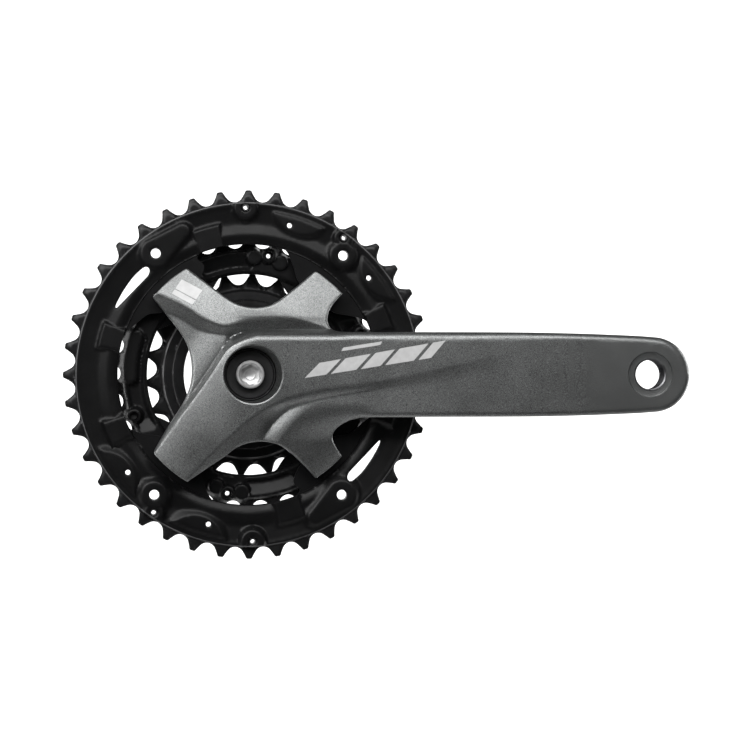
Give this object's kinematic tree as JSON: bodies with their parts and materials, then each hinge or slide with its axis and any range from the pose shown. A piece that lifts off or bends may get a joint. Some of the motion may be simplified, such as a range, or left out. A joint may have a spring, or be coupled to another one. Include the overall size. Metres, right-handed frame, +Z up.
{
  "type": "bicycle crankset",
  "caption": "Drive-side triple bicycle crankset: crank arm with four-arm spider, black chainrings, square-taper hub with fixing bolt, threaded pedal eye.",
  "frame": {"origin": "on the spindle axis, midway through the outer chainring's teeth", "axes": "+X along the crank arm towards the pedal eye, +Y along the spindle axis towards the bicycle (inboard), +Z up"},
  "size_m": [0.2752, 0.0515, 0.1644],
  "materials": {
    "arm_paint": "satin metallic dark grey paint over forged aluminium",
    "ring_black": "satin black coating over steel, slightly textured",
    "ring_steel": "black-oxide steel with a soft sheen",
    "black_steel": "black-oxide steel",
    "bright_steel": "zinc-plated steel"
  },
  "bodies": {
    "crank": {"crank_arm": "arm_paint", "outer_chainring": "ring_black", "middle_chainring": "ring_steel", "inner_chainring": "ring_steel", "ring_spacer_1": "black_steel", "ring_bolt_1": "black_steel", "inner_bolt_1": "black_steel", "ring_spacer_2": "black_steel", "ring_bolt_2": "black_steel", "inner_bolt_2": "black_steel", "ring_spacer_3": "black_steel", "ring_bolt_3": "black_steel", "inner_bolt_3": "black_steel", "ring_spacer_4": "black_steel", "ring_bolt_4": "black_steel", "inner_bolt_4": "black_steel", "outer_lift_pin_1": "black_steel", "outer_lift_pin_2": "black_steel", "outer_lift_pin_3": "black_steel", "outer_lift_pin_4": "black_steel", "middle_lift_pin_1": "black_steel", "middle_lift_pin_2": "black_steel", "middle_lift_pin_3": "black_steel", "middle_lift_pin_4": "black_steel"},
    "washer": {"fixing_washer": "black_steel"},
    "bolt": {"fixing_bolt": "bright_steel"}
  },
  "joints": [
    {"name": "washer_travel", "type": "slide", "parent": "crank", "child": "washer", "axis": [0, -1, 0], "range_m": [0, 0.016]},
    {"name": "fixing_bolt_turn", "type": "hinge", "parent": "washer", "child": "bolt", "pos_m": [0, 0, 0], "axis": [0, -1, 0], "range_deg": [0, 5760]}
  ],
  "couplings": [
    {"joint": "washer_travel", "follows": "fixing_bolt_turn", "m_per_rad": 0.00015915}
  ]
}
